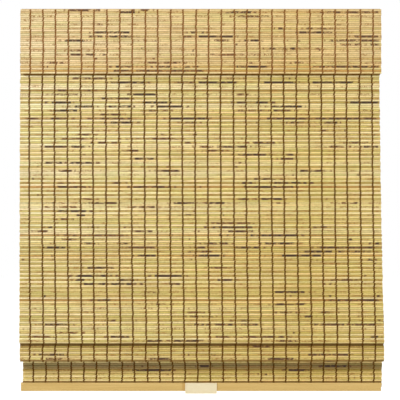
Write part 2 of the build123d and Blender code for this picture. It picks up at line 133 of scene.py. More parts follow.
# Marks on the slats
STAIN_OUT = 0.0024  # a mark starts to show this far outside its end
STAIN_IN = 0.0050  # and is full this far inside it, or at STAIN_TAPER of its length
STAIN_TAPER = 0.3
STAIN_STEP = 0.0046  # between rings of points
RING_GAP = STAIN_OUT * 0.7  # the least that rings of points lie apart
STAIN_SWELL = 0.0006  # how much wider a slat is at a mark
NO_MARK = (-9.0, 0.0)
MARK_AMOUNT = (0.92, 0.16)  # how much of a mark shows, and what roughness adds
MARK_DEPTH = (0.9, 0.1, 0.12)  # how dark it is at its end, and what cover and roughness add
TAIL_L = (0.003, 0.014)
TAIL_DEPTH = 0.55
FLECK_COUNTS = (1, 2, 3)
FLECK_L = (0.002, 0.011)
FLECK_DEPTH = (0.3, 0.8)
HIDDEN_STREAKS = 3  # at most so many on a slat that the photograph doesn't show
HIDDEN_CHANCE = 0.45
HIDDEN_ROOM = 0.05  # the last of them starts this far from the right end
HIDDEN_L = (0.015, 0.06)
HIDDEN_DEPTH = (0.4, 1.0)

# Threads: each warp is two cords, and their twist and wobble are small
THREAD_PITCH = 0.0242
THREADS = 28
THREAD_PLAY = 0.0006
THREAD_BOW = (0.0008, 0.0020)  # to the right in the middle, and back from there at the sides
THREAD_SWAY = 0.00085
SWAY_REACH = 0.3
STRAND_W = 0.00150
STRAND_H = 0.00062
STRAND_GRIP = 0.6  # how much of its thickness a cord lies off the slat
STRAND_SIDES = 5
# At three places of each slat: how far along, how far out, how far aside, and how thick
STRAND_SHAPE = ((0.1, 0.5, 0.50, 0.80), (0.5, 1.0, 0.0, 1.25), (0.9, 0.5, -0.50, 0.80))
SKEW = 0.0046  # how far the threads drift to the right down the panel
VALANCE_SKEW = 0.0019
DRIFT = (  # past the panel, by slat: how far they drift to the right, and how far they spread
    (164, SKEW, 0.0),
    (190, 0.0034, 0.0047),
    (209, 0.0034, 0.0047),
    (230, 0.0055, 0.0),
    (260, 0.0055, 0.0),
)

# A dark cord along the valance's lower edge: painted shadow, standing in for the shade under the
# valance
SHADOW_CORD_R = 0.0012
SHADOW_CORD_NECK = 0.82  # the radius between its beads, as a share
SHADOW_CORD_DROP = 0.8  # how many radii it lies below the valance
SHADOW_CORD_INSET = (0.006, 0.002)  # from the valance's left and right ends
SHADOW_CORD_WAVE = (0.0003, 0.03)
SHADOW_CORD_SPANS = 120
SHADOW_CORD_SIDES = 6

# Seeds of the random draws
SLAT_SEED = 9000
MAIN_LOOK_SEED = 100
VALANCE_LOOK_SEED = 700
THREAD_PLACE_SEED = 77
STRAND_SEED_STEPS = (31, 7, 3)  # for each thread, each slat that it starts at, and its side
SHADOW_CORD_SEED = 41

# Studio
LAMP_TARGET = (0, 0, -0.3)
LAMPS = {  # where each stands, how wide it is and its power
    "key": ((-1.0, -2.3, 1.9), 1.6, 62),
    "fill": ((1.6, -2.4, 0.2), 2.0, 14),
    "back": ((1.2, 2.4, 1.4), 2.0, 55),
}
WHITE = (1, 1, 1, 1)
SKY_LIGHT = 0.50
FLOOR_DROP = 0.5
FLOOR_REACH = 12.0
FLOOR_GLOW = 0.66  # how much the floor shines where it is seen

# Streaks: the slat, then for each the columns from and to and how dark it is
PANEL_STREAKS = {
    33: ((70, 108, 0.6), (196, 209, 0.35), (223, 242, 0.35)),
    35: ((109, 147, 0.85), (172, 195, 0.5), (196, 236, 0.88), (262, 297, 0.95), (311, 355, 0.95)),
    39: ((56, 69, 0.5), (82, 92, 0.5)),
    41: ((50, 80, 0.6), (131, 157, 0.95), (234, 259, 0.45)),
    43: ((99, 132, 0.75),),
    45: ((50, 73, 0.9), (140, 169, 1.0), (235, 251, 0.8), (253, 270, 0.95), (348, 380, 1.0)),
    47: ((73, 96, 0.9), (107, 132, 0.8), (155, 184, 0.85), (270, 304, 0.85)),
    49: ((52, 79, 1.0), (147, 170, 0.5), (233, 269, 0.5), (271, 293, 0.55), (361, 369, 0.55)),
    51: ((99, 123, 0.6),),
    53: ((20, 41, 0.55), (48, 70, 0.7), (93, 133, 0.6), (167, 207, 0.85), (265, 380, 0.65)),
    55: ((109, 135, 1.0), (182, 199, 0.6), (284, 306, 0.6), (322, 339, 0.75)),
    59: ((316, 331, 0.5),),
    61: ((74, 93, 0.6), (159, 169, 0.45), (370, 380, 0.5)),
    63: ((58, 89, 0.5), (123, 182, 0.5)),
    65: ((96, 119, 0.6), (183, 193, 0.5), (251, 277, 0.55), (341, 370, 0.6)),
    67: (
        (43, 66, 0.8),
        (68, 87, 0.85),
        (197, 211, 0.45),
        (215, 249, 0.8),
        (328, 346, 0.55),
        (362, 380, 0.7),
    ),
    69: ((120, 140, 0.6), (200, 226, 0.45)),
    71: ((236, 268, 0.75), (284, 295, 0.65)),
    73: ((133, 155, 0.8), (279, 295, 0.6)),
    75: ((44, 64, 0.85), (68, 94, 0.85)),
    77: ((144, 165, 0.45),),
    79: ((56, 74, 0.6), (152, 182, 0.7), (298, 327, 0.7)),
    83: ((160, 168, 0.4), (252, 278, 0.7)),
    85: ((56, 72, 0.45), (109, 130, 0.6), (240, 254, 0.8), (272, 308, 0.85)),
    87: ((56, 88, 0.7), (131, 173, 0.75), (242, 295, 0.85)),
    93: ((81, 94, 0.4), (133, 142, 0.4), (236, 251, 0.65), (259, 284, 0.75)),
    95: ((87, 119, 0.7), (172, 196, 0.8), (207, 226, 0.8), (275, 282, 0.6), (347, 359, 0.6)),
    97: ((43, 80, 0.4), (131, 157, 0.5)),
    99: ((56, 88, 0.85),),
    101: ((74, 87, 0.7), (182, 194, 0.7)),
    103: ((59, 76, 0.4),),
    105: ((209, 258, 0.45),),
    107: ((47, 54, 0.7), (90, 96, 0.75), (127, 137, 0.5), (209, 254, 0.75), (311, 329, 0.55)),
    109: ((36, 50, 0.6), (131, 154, 0.55), (226, 256, 0.7)),
    111: ((60, 130, 0.45), (249, 300, 0.75)),
    113: ((60, 81, 0.5),),
    115: ((82, 97, 0.75), (115, 132, 0.75), (196, 230, 0.55), (263, 296, 0.75), (373, 381, 0.8)),
    117: ((45, 68, 0.85), (124, 158, 0.5), (192, 207, 0.6), (234, 262, 0.65), (315, 381, 0.65)),
    119: ((185, 214, 0.55), (301, 334, 0.85), (335, 373, 0.7)),
    121: ((135, 158, 0.8), (183, 194, 0.5), (195, 221, 1.0), (280, 323, 0.92)),
    123: ((185, 194, 0.5), (314, 321, 0.5), (365, 374, 0.75)),
    127: ((85, 116, 0.85), (209, 228, 0.5)),
    131: ((74, 114, 0.92), (153, 184, 0.95)),
    133: ((74, 86, 0.8), (115, 136, 0.85), (216, 235, 0.7), (326, 363, 0.6)),
    135: ((82, 107, 0.85), (109, 138, 1.0), (167, 182, 0.6), (327, 333, 0.6)),
    139: ((146, 158, 0.5), (273, 307, 0.8)),
    141: ((376, 382, 0.7),),
    143: ((96, 113, 0.8), (327, 382, 0.75)),
    145: ((154, 169, 0.6), (273, 308, 0.7)),
    149: ((82, 90, 0.5), (185, 207, 0.45), (278, 294, 0.7), (314, 335, 0.6)),
    151: ((188, 215, 0.6), (303, 314, 0.7)),
    153: ((98, 118, 0.5), (235, 258, 0.7), (375, 383, 0.6)),
    155: ((43, 73, 0.75), (192, 260, 0.6), (312, 346, 0.65), (350, 383, 0.65)),
    159: ((56, 80, 0.4),),
    161: ((30, 53, 0.45), (109, 131, 0.75), (213, 294, 0.55), (369, 380, 0.85)),
    163: ((146, 165, 0.75), (172, 206, 0.75), (274, 300, 0.65)),
    201: ((250, 272, 0.5),),
    205: ((37, 66, 0.75), (121, 134, 0.5), (209, 222, 0.5), (306, 350, 0.65)),
    207: ((44, 64, 0.6), (148, 173, 0.8), (266, 295, 0.7)),
    249: ((198, 211, 0.9), (323, 348, 0.95)),
    251: ((130, 173, 1.0), (287, 311, 0.8)),
    253: ((164, 170, 0.45), (260, 269, 0.7)),
}
VALANCE_STREAKS = {
    0: ((67, 102, 0.5), (136, 152, 0.5)),
    1: ((118, 137, 0.85), (223, 253, 0.8), (325, 380, 0.6)),
    3: ((235, 271, 0.5),),
    7: ((95, 105, 0.4), (326, 343, 0.4)),
    9: ((276, 289, 0.6), (304, 340, 0.5)),
    11: ((92, 131, 0.83), (189, 206, 0.7), (298, 334, 0.8)),
    13: ((92, 105, 0.7), (107, 135, 0.88), (182, 196, 0.5), (197, 235, 0.8), (352, 380, 0.6)),
    15: ((63, 86, 0.85), (147, 159, 0.6), (212, 231, 0.6), (242, 260, 0.85), (327, 381, 0.68)),
    17: ((338, 363, 0.5), (368, 381, 0.55)),
    19: ((266, 298, 0.65), (300, 322, 0.35)),
    20: ((69, 85, 0.35), (191, 195, 0.6)),
    22: ((69, 108, 0.65), (208, 263, 0.35)),
    24: ((131, 157, 0.3),),
    26: ((45, 66, 0.55), (147, 183, 0.45), (247, 254, 0.5), (293, 306, 0.5), (362, 378, 0.45)),
    28: ((114, 135, 0.75), (154, 172, 0.85), (183, 195, 0.8), (234, 271, 0.75), (311, 381, 0.7)),
    30: ((112, 205, 0.5),),
}


def srgb(r, g, b):
    """A colour as linear values, from the 0 to 255 values that it shows."""
    out = []
    for value in (r, g, b):
        value /= 255
        out.append(value / 12.92 if value <= 0.04045 else ((value + 0.055) / 1.055) ** 2.4)
    return (*out, 1.0)


# Colours of the slats: each lies between two, light and deep
CREAM = (srgb(255, 242, 200), srgb(247, 226, 168))
OLIVE = (srgb(223, 202, 133), srgb(199, 176, 105))
VALANCE_CREAM = (srgb(246, 226, 180), srgb(233, 209, 156))
VALANCE_TAN = (srgb(234, 206, 154), srgb(212, 182, 124))
STRAY_CHANCE = 0.2  # how often a slat is nearer to its neighbours' tone
STRAY_SHARE = 0.55
# Slats of one colour all along, unlike their neighbours. Some are painted light and shade: 163,
# 207 and 247 are lightened against the shade at the folds, and 200, 208 and 248 to 250 are
# darkened for the shade in the folds' creases and under the second fold
PANEL_SOLID_AND_PAINTED_LIGHT = {
    37: srgb(246, 228, 184),
    39: srgb(174, 144, 84),
    53: srgb(196, 162, 100),
    87: srgb(202, 162, 98),
    111: srgb(200, 166, 102),
    121: srgb(212, 174, 102),
    143: srgb(194, 156, 92),
    # painted light: lightened against the shade at the first fold's turn
    163: srgb(230, 206, 144),
    # painted shade: the crease under the first fold
    200: srgb(146, 116, 66),
    # painted light: lightened against the shade at the second fold's turn
    207: srgb(248, 230, 176),
    # painted shade: the crease under the second fold
    208: srgb(168, 140, 90),
    # painted light: lightened where the second fold shades the hem
    247: srgb(250, 236, 190),
    # painted shade: 248 to 250 lie in the second fold's shadow
    248: srgb(182, 166, 124),
    249: srgb(170, 154, 114),
    250: srgb(188, 166, 118),
    254: srgb(252, 236, 186),
    256: srgb(250, 234, 182),
    257: srgb(138, 110, 62),
}
VALANCE_SOLID = {28: srgb(218, 182, 118), 30: srgb(208, 166, 98)}

# Tints that multiply a slat's colour
UNTINTED = (1, 1, 1)
PINKISH = (1.02, 0.97, 0.95)
GREENISH = (0.95, 1.0, 0.84)
LEFT_TINT = (1.0, 1.02, 1.10)
RIGHT_TINT = (0.89, 0.85, 0.70)
DIMMEST = 0.8  # how far across the shade the right tint is full
EASING = 1.5  # how fast it eases off from there
LOW_TINT = (0.95, 0.92, 0.81)
# painted shade over the folds and the hem's top, under the folds' noses
FOLD_SHADE_TINT = (0.88, 0.84, 0.74)
HEM_TINT = (1.02, 0.99, 0.92)

# The bamboo's grain: how finely each kind varies along a slat, across it and from slat to slat
FIBRES = (28.0, 2400.0, 7.0)
BLOTCHES = (40.0, 260.0, 11.0)
MOTTLE = (430.0, 620.0, 23.0)
PATCHES = (170.0, 420.0, 13.0)
DASHES = (560.0, 520.0, 19.0)
RUNS = (34.0, 90.0, 29.0)
FIBRE_TINT = (0.82, 0.79, 0.66, 1)
BLOTCH_TINT = (0.90, 0.80, 0.62, 1)
MOTTLE_TINT = (0.82, 0.80, 0.71, 1)
# painted shade and dirt at the slats' edges
EDGE_SHADE_AND_DIRT = (0.46, 0.38, 0.22, 1)
HALO_TINT = (0.70, 0.57, 0.46, 1)
SPECK_BROWN = srgb(150, 104, 50)
STAIN_LIGHT = srgb(148, 100, 54)
STAIN_BROWN = srgb(92, 60, 38)
STAIN_BLACK = srgb(44, 31, 27)
STAIN_FIBRE = srgb(124, 92, 60)
DARK_DASHES = 1.0  # how much of its dashes a dark slat shows
LIGHT_DASHES = 0.2

# The solids' finishes: two close colours, how finely the grain varies along X, Y and Z, roughness,
# metallic and bump
FINISHES = {
    "bamboo_rail": ((210, 178, 108), (192, 158, 87), (9.0, 700.0, 700.0), 0.42, 0.0, 0.05),
    "headrail_wood": ((205, 172, 122), (182, 146, 98), (14.0, 380.0, 380.0), 0.6, 0.0, 0.05),
    "handle_plastic": ((226, 212, 175), (223, 208, 170), (160.0, 160.0, 160.0), 0.35, 0.0, 0.02),
    "white_plastic": ((226, 224, 214), (214, 212, 202), (220.0, 220.0, 220.0), 0.45, 0.0, 0.05),
    "ring_plastic": ((222, 212, 180), (206, 194, 158), (300.0, 300.0, 300.0), 0.35, 0.0, 0.05),
    "zinc_steel": ((196, 198, 200), (168, 171, 174), (90.0, 900.0, 900.0), 0.38, 0.9, 0.05),
    "painted_steel": ((218, 208, 182), (208, 198, 172), (400.0, 400.0, 400.0), 0.5, 0.0, 0.05),
    "spring_steel": ((112, 118, 128), (84, 88, 98), (60.0, 900.0, 900.0), 0.3, 0.9, 0.05),
    "screw_steel": ((188, 184, 170), (156, 152, 138), (500.0, 500.0, 500.0), 0.35, 0.9, 0.05),
}
BROAD = 9  # how many times coarser a finish's broad mottle is than its grain
# Painted shade: the rail is darker and browner between these places, beside and under the handle
HANDLE_SHADE_SPANS = {"bamboo_rail": (-0.0366, 0.0322)}
SHADE_FADE = 0.0008
SHADE_TINT = (0.88, 0.80, 0.70, 1.0)


def column(px, y=CAMERA_Y + CAMERA_DISTANCE):
    """The x of a column of the photograph, on a plane at y."""
    middle = (PHOTO_PX / 2 - PX_MIDDLE) * PX
    return middle + (px - PHOTO_PX / 2) * PX * (y - CAMERA_Y) / CAMERA_DISTANCE


def row(px):
    """The z of a row of the photograph."""
    return TOP - (px - PX_TOP) * PX


def blend(a, b, t):
    return tuple(p + (q - p) * t for p, q in zip(a, b))


def times(a, b):
    return tuple(p * q for p, q in zip(a, b))


class Weave:
    """A mat's section: slats one pitch long, each hinged to the next."""

    def __init__(self, start, headings):
        self.headings = [radians(a) for a in headings]
        self.hinges = [start]
        for a in self.headings:
            y, z = self.hinges[-1]
            self.hinges.append((y + PITCH * cos(a), z + PITCH * sin(a)))

    def at(self, k, along, out):
        """A point of slat k: so far from its upper hinge, and so far in front."""
        a = self.headings[k]
        y, z = self.hinges[k]
        return y + along * cos(a) + out * sin(a), z + along * sin(a) - out * cos(a)


def main_weave():
    headings = []
    for n, (heading, slats) in enumerate(MAT_RUNS):
        headings += [heading] * slats
        if n < len(MAT_TURNS):
            turn = (MAT_RUNS[n + 1][0] - heading) / (MAT_TURNS[n] + 1)
            headings += [heading + turn * (k + 1) for k in range(MAT_TURNS[n])]
    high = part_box("main_mat")[1]
    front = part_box("headrail_board")[0].y
    return Weave((front - FACE - BOARD_GAP, high.z), headings)


def run_start(n):
    return sum(slats for _, slats in MAT_RUNS[:n]) + sum(MAT_TURNS[:n])


def run_end(n):
    return run_start(n) + MAT_RUNS[n][1]


MAIN = main_weave()
VALANCE_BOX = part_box("valance_mat")
VALANCE_Y = (VALANCE_BOX[0].y + VALANCE_BOX[1].y) / 2
VALANCE = Weave((VALANCE_Y, VALANCE_BOX[1].z), [-90.0] * VALANCE_SLATS)
FRONT_TOP = run_start(1)
FRONT_END = run_end(1)
NOSE_END = FRONT_END + MAT_TURNS[1]
HEM_START = run_end(4)
SLATS = len(MAIN.headings)
SHOWN = ((33, FRONT_END), (200, 208), (247, SLATS))  # the main mat's slats in the photograph


def step_of(k):
    """How far a slat stands in front of its mat's middle."""
    return SLAT_STEP if k % 2 else -SLAT_STEP


def down(k):
    """How far down the panel a slat of the main mat is, from 0 to 1."""
    return min(1.0, max(0.0, (k - FRONT_TOP) / (FRONT_END - FRONT_TOP)))


def drift_at(weave, k):
    """How far the threads lie to the right at a slat, and how far they spread."""
    if weave is VALANCE:
        return VALANCE_SKEW, 0.0
    if k <= FRONT_END:
        return SKEW * down(k) ** 3, 0.0
    for (above, *before), (below, *after) in zip(DRIFT, DRIFT[1:]):
        if k <= below:
            return blend(before, after, (k - above) / (below - above))


def main_ends(k):
    if k < NOSE_END:
        return blend(*PANEL_ENDS, down(k) ** 2)
    return FOLD_ENDS if k < HEM_START else HEM_ENDS


def main_tint(k):
    tint = blend(UNTINTED, LOW_TINT, down(k))
    # past the panel, the folds and the hem's top take painted shade
    if k > FRONT_END:
        tint = times(tint, HEM_TINT if k >= HEM_SHOWN else FOLD_SHADE_TINT)
    return tint


class Wander:
    """A gentle random curve along the shade."""

    REACH = 0.36  # it runs as far as this to the left and right

    def __init__(self, rng, size, stride):
        self.stride = stride
        self.knots = [rng.uniform(-size, size) for _ in range(int(2 * self.REACH / stride) + 3)]

    def at(self, x):
        place = (x + self.REACH) / self.stride
        k, t = int(place), place % 1
        t = t * t * (3 - 2 * t)
        return self.knots[k] * (1 - t) + self.knots[k + 1] * t


def add_object(name, data):
    obj = bpy.data.objects.new(name, data)
    bpy.context.scene.collection.objects.link(obj)
    return obj


def circle(sides):
    """The angles of a ring's points."""
    return [2 * pi * s / sides for s in range(sides)]


class MeshData:
    """Vertices, faces and per-vertex values collected for one object."""

    VALUES = {
        "grain": ("FLOAT_VECTOR", "vector"),  # along, across, and a place of its own for each slat
        "tone": ("FLOAT_COLOR", "color"),  # the colour, and how much the dashes show
        "stain": ("FLOAT_VECTOR", "vector"),  # how much of a mark, how dark, and across the slat
    }

    def __init__(self):
        self.points = []
        self.faces = []
        self.values = {key: [] for key in self.VALUES}

    def tube(self, rings):
        """A closed tube through rings of points, each a list of the same length."""
        base = len(self.points)
        sides = len(rings[0])
        for ring in rings:
            self.points += ring
        for n in range(len(rings) - 1):
            for i in range(sides):
                j = (i + 1) % sides
                a, b = base + n * sides, base + (n + 1) * sides
                self.faces.append((a + i, a + j, b + j, b + i))
        self.faces.append(tuple(base + i for i in reversed(range(sides))))
        last = base + (len(rings) - 1) * sides
        self.faces.append(tuple(last + i for i in range(sides)))

    def build(self, name, material):
        mesh = bpy.data.meshes.new(name)
        mesh.from_pydata(self.points, [], self.faces)
        for key, (kind, field) in self.VALUES.items():
            if self.values[key]:
                attribute = mesh.attributes.new(key, kind, "POINT")
                attribute.data.foreach_set(field, [c for value in self.values[key] for c in value])
        mesh.polygons.foreach_set("use_smooth", [True] * len(mesh.polygons))
        mesh.set_sharp_from_angle(angle=SHARP_ANGLE)
        mesh.validate()
        mesh.materials.append(material)
        return add_object(name, mesh)


def stations(ends, marks):
    """Where a slat has rings of points: evenly along it, and closer in each mark."""
    left, right = ends
    places = [left + (right - left) * n / SLAT_SPANS for n in range(SLAT_SPANS + 1)]
    for start, end, _ in marks:
        places += [start - STAIN_OUT, end + STAIN_OUT]
        steps = max(2, round((end - start) / STAIN_STEP))
        places += [start + (end - start) * n / steps for n in range(steps + 1)]
    kept = [left]
    for x in sorted(places):
        if x - kept[-1] > RING_GAP and right - x > RING_GAP:
            kept.append(x)
    return kept + [right]


def stain_at(x, marks, rough):
    """How much of a mark is at x, about 0 to 1, and how dark it is."""
    best = NO_MARK
    for start, end, depth in marks:
        taper = min(STAIN_IN, (end - start) * STAIN_TAPER)
        inside = (min(x - start, end - x) + STAIN_OUT) / (taper + STAIN_OUT)
        best = max(best, (inside, depth))
    amount = min(1.0, max(0.0, best[0]))
    steady, ragged = MARK_AMOUNT
    at_end, at_full, uneven = MARK_DEPTH
    shown = amount * (steady + ragged * rough)
    return shown, best[1] * (at_end + at_full * amount) + uneven * rough


def hued(tone, h):
    """The tone a little pinker where h is above 0, or greener where it is below."""
    return times(tone, blend(UNTINTED, PINKISH if h > 0 else GREENISH, abs(h)))


def across_tint(place):
    """The tint at a place from 0 at the left edge to 1 at the right one, where it eases off."""
    share = place / DIMMEST if place < DIMMEST else 1.0 - EASING * (place - DIMMEST)
    return blend(LEFT_TINT, RIGHT_TINT, share)


def add_slat(data, weave, k, look, number):
    """One split-bamboo slat, a little uneven along its length."""
    rng = random.Random(SLAT_SEED + number)
    left, right = (x + rng.uniform(-END_PLAY, END_PLAY) for x in look["ends"])
    drift, swell, bow, shade, hue, rough = (Wander(rng, *wave) for wave in WAVES.values())
    rings = []
    for x in stations((left, right), look["marks"]):
        amount, depth = stain_at(x, look["marks"], rough.at(x))
        tint = across_tint((x - left) / (right - left))
        light = 1 + shade.at(x)
        tone = hued(times(look["tone"], [c * light for c in tint]), hue.at(x))
        ring = []
        for v, h in SECTION:
            across = v * (look["width"] + swell.at(x) + STAIN_SWELL * min(1.0, amount))
            out = step_of(k) + h * SLAT_T + bow.at(x)
            ring.append((x, *weave.at(k, PITCH / 2 + across + drift.at(x), out)))
            data.values["grain"].append((x, across, number * GRAIN_STEP))
            data.values["tone"].append((*tone, look["dashes"]))
            data.values["stain"].append((amount, depth, v * 2))
        rings.append(ring)
    data.tube(rings)


def add_strand(data, weave, first, last, n, start_side):
    """One of a warp's two cords, which passes each slat in front or behind by turns."""
    per_thread, per_start, for_side = STRAND_SEED_STEPS
    seed = n * per_thread + first * per_start + (for_side if start_side > 0 else 0)
    place = random.Random(n + THREAD_PLACE_SEED).uniform(-THREAD_PLAY, THREAD_PLAY)
    middle = (THREADS - 1) / 2
    bow = THREAD_BOW[1] * (n / middle - 1) ** 2
    x0 = (n - middle) * THREAD_PITCH + place + THREAD_BOW[0] - bow
    sway = Wander(random.Random(seed), THREAD_SWAY, PITCH)
    rings = []
    for k in range(first, last):
        side = start_side if (k - first) % 2 == 0 else -start_side
        a = weave.headings[k]
        shift, spread = drift_at(weave, k)
        x = x0 * (1 + spread) + shift
        for along, out, aside, swell in STRAND_SHAPE:
            lift = step_of(k) + side * (SLAT_T / 2 + STRAND_H * STRAND_GRIP) * out
            y0, z0 = weave.at(k, PITCH * along, lift)
            swayed = sway.at((k + along) * PITCH % (2 * SWAY_REACH) - SWAY_REACH)
            cx = x + swayed + side * aside * STRAND_W
            ring = []
            for turn in circle(STRAND_SIDES):
                dx, dn = swell * STRAND_W * cos(turn), swell * STRAND_H * sin(turn)
                ring.append((cx + dx, y0 + dn * sin(a), z0 - dn * cos(a)))
            rings.append(ring)
    data.tube(rings)


def random_streaks(rng, ends):
    """Streaks of a slat that the photograph doesn't show."""
    marks = []
    for _ in range(HIDDEN_STREAKS):
        if rng.random() < HIDDEN_CHANCE:
            start = rng.uniform(ends[0], ends[1] - HIDDEN_ROOM)
            marks.append((start, start + rng.uniform(*HIDDEN_L), rng.uniform(*HIDDEN_DEPTH)))
    return marks


def flecks(rng, ends):
    """A few short marks anywhere on a dark slat."""
    marks = []
    for _ in range(rng.choice(FLECK_COUNTS)):
        start = rng.uniform(*ends)
        marks.append((start, start + rng.uniform(*FLECK_L), rng.uniform(*FLECK_DEPTH)))
    return marks


def with_tails(rng, mark):
    """A streak and the lighter dashes that lead up to it and away from it."""
    start, end, depth = mark
    lead, trail = rng.uniform(*TAIL_L), rng.uniform(*TAIL_L)
    light = TAIL_DEPTH * depth
    return [(start - lead, start, light), mark, (end, end + trail, light)]


def mixed_tone(rng, palette, dark):
    """A tone of the slat's own kind, or now and then one nearer to its neighbours'."""
    own, other = palette[dark], palette[not dark]
    tone = blend(*own, rng.random())
    return blend(tone, other[0], STRAY_SHARE) if rng.random() < STRAY_CHANCE else tone


def streaks_known(k, streaks):
    """Whether the photograph shows the slat, with or without streaks."""
    return streaks is VALANCE_STREAKS or any(first <= k <= last for first, last in SHOWN)


def slat_look(rng, k, y, streaks, solid, palette, ends, tint):
    """A slat's colour, width, ends and marks."""
    dark = k % 2 == 1
    if streaks is VALANCE_STREAKS and k >= VALANCE_SHIFT:
        dark = not dark
    tone = solid.get(k) or mixed_tone(rng, palette, dark)
    marks = []
    if k in streaks:
        for start, end, depth in streaks[k]:
            marks += with_tails(rng, (column(start, y), column(end, y), depth))
    elif dark and not streaks_known(k, streaks):
        marks = random_streaks(rng, ends)
    if dark:
        marks += flecks(rng, ends)
    return {
        "tone": times(tone[:3], tint),
        "dashes": DARK_DASHES if dark else LIGHT_DASHES,
        "marks": marks,
        "ends": ends,
        "width": OLIVE_W if k % 2 else CREAM_W,
    }


class Graph:
    """The node tree of a material or world, with short calls for the nodes used here."""

    COLOUR_A, COLOUR_B, COLOUR_OUT = 6, 7, 2  # the sockets of a mix node that take colours

    def __init__(self, owner):
        owner.use_nodes = True
        self.owner = owner
        self.tree = owner.node_tree

    def add(self, kind, inputs=(), **settings):
        made = self.tree.nodes.new(kind)
        for key, value in settings.items():
            setattr(made, key, value)
        for key, value in dict(inputs).items():
            self.put(made.inputs[key], value)
        return made

    def put(self, socket, value):
        if isinstance(value, bpy.types.NodeSocket):
            self.tree.links.new(value, socket)
        else:
            socket.default_value = value

    def shade(self, **values):
        """Sets the inputs of the material's shader."""
        shader = self.tree.nodes["Principled BSDF"]
        for key, value in values.items():
            self.put(shader.inputs[key.replace("_", " ")], value)
        return self.owner

    def where(self):
        return self.add("ShaderNodeTexCoord").outputs["Object"]

    def attribute(self, name, output="Vector"):
        return self.add("ShaderNodeAttribute", attribute_name=name).outputs[output]

    def split(self, vector):
        return self.add("ShaderNodeSeparateXYZ", {0: vector}).outputs

    def math(self, operation, a, b=0.0):
        return self.add("ShaderNodeMath", {0: a, 1: b}, operation=operation).outputs[0]

    def noise(self, vector, scale=1.0, detail=2.0, roughness=0.5):
        inputs = {"Vector": vector, "Scale": scale, "Detail": detail, "Roughness": roughness}
        return self.add("ShaderNodeTexNoise", inputs).outputs["Fac"]

    def stretched(self, vector, stretch, detail=2.0, roughness=0.5):
        """Noise that varies so finely along each axis."""
        made = self.add("ShaderNodeVectorMath", {0: vector, 1: stretch}, operation="MULTIPLY")
        return self.noise(made.outputs[0], 1.0, detail, roughness)

    def steps(self, value, low, high, to_low=0.0, to_high=1.0):
        """The value mapped smoothly from one range to another."""
        ranges = {"From Min": low, "From Max": high, "To Min": to_low, "To Max": to_high}
        inputs = {"Value": value, **ranges}
        return self.add("ShaderNodeMapRange", inputs, interpolation_type="SMOOTHSTEP").outputs[0]

    def mix(self, factor, a, b, blend_type="MIX"):
        made = self.add("ShaderNodeMix", data_type="RGBA", blend_type=blend_type)
        self.put(made.inputs[0], factor)
        self.put(made.inputs[self.COLOUR_A], a)
        self.put(made.inputs[self.COLOUR_B], b)
        return made.outputs[self.COLOUR_OUT]

    def bump(self, height, strength, distance):
        inputs = {"Height": height, "Strength": strength, "Distance": distance}
        return self.add("ShaderNodeBump", inputs).outputs[0]

    def seen(self):
        """1 where a ray comes from the camera, or by way of gloss or glass, and 0 elsewhere."""
        rays = self.add("ShaderNodeLightPath").outputs
        either = self.math("MAXIMUM", rays["Is Camera Ray"], rays["Is Glossy Ray"])
        return self.math("MAXIMUM", either, rays["Is Transmission Ray"])


def bamboo_material():
    g = Graph(bpy.data.materials.new("split_bamboo"))
    grain = g.attribute("grain")
    amount, depth, across = g.split(g.attribute("stain"))
    colour = g.attribute("tone", "Color")

    # Fibres along the slat, blotches, a fine mottle, and darker edges: painted shade and dirt
    # where the slats meet
    fibres = g.stretched(grain, FIBRES, 4.0, 0.6)
    blotches = g.stretched(grain, BLOTCHES)
    mottle = g.stretched(grain, MOTTLE)
    # painted shade and dirt: each slat darkens towards its edges, where it meets the next
    edge = g.steps(g.math("ABSOLUTE", across), 0.62, 0.96)
    colour = g.mix(g.steps(fibres, 0.4, 0.7, 0.0, 0.8), colour, FIBRE_TINT, "MULTIPLY")
    colour = g.mix(g.steps(blotches, 0.55, 0.75, 0.0, 0.6), colour, BLOTCH_TINT, "MULTIPLY")
    colour = g.mix(g.steps(mottle, 0.42, 0.66, 0.0, 0.9), colour, MOTTLE_TINT, "MULTIPLY")
    colour = g.mix(edge, colour, EDGE_SHADE_AND_DIRT, "MULTIPLY")

    # Brown specks, in runs along the slat
    patches = g.stretched(grain, PATCHES, 3.0, 0.65)
    dashes = g.stretched(grain, DASHES, 1.0)
    runs = g.stretched(grain, RUNS, 1.0)
    specks = g.math("MULTIPLY", g.steps(runs, 0.47, 0.60), g.steps(dashes, 0.48, 0.57))
    specks = g.math("MULTIPLY", specks, g.attribute("tone", "Alpha"))
    colour = g.mix(g.math("MULTIPLY", specks, 0.85), colour, SPECK_BROWN)

    # Marks: ragged where they fade, with a tinted halo, and blackest in the deepest
    ragged = g.math("ADD", g.math("MULTIPLY", patches, 0.6), g.math("MULTIPLY", dashes, 0.4))
    cover = g.math("ADD", g.math("MULTIPLY", depth, 0.36), 0.85)
    cover = g.math("ADD", g.math("MULTIPLY", cover, amount), g.math("MULTIPLY", ragged, 1.9))
    halo = g.math("MULTIPLY", amount, g.steps(cover, 1.45, 1.85, 0.0, 0.7))
    core = g.math("ADD", depth, g.math("MULTIPLY", g.math("SUBTRACT", ragged, 0.48), 2.4))
    stain = g.mix(g.steps(core, 0.30, 0.7), STAIN_LIGHT, STAIN_BROWN)
    stain = g.mix(g.steps(core, 0.70, 1.0), stain, STAIN_BLACK)
    stain = g.mix(g.steps(fibres, 0.4, 0.7, 0.0, 0.35), stain, STAIN_FIBRE)
    colour = g.mix(halo, colour, HALO_TINT, "MULTIPLY")
    colour = g.mix(g.steps(cover, 1.78, 1.95, 0.0, 0.94), colour, stain)

    bump = g.bump(fibres, 0.25, 0.0003)
    return g.shade(Base_Color=colour, Roughness=0.55, Specular_IOR_Level=0.2, Normal=bump)


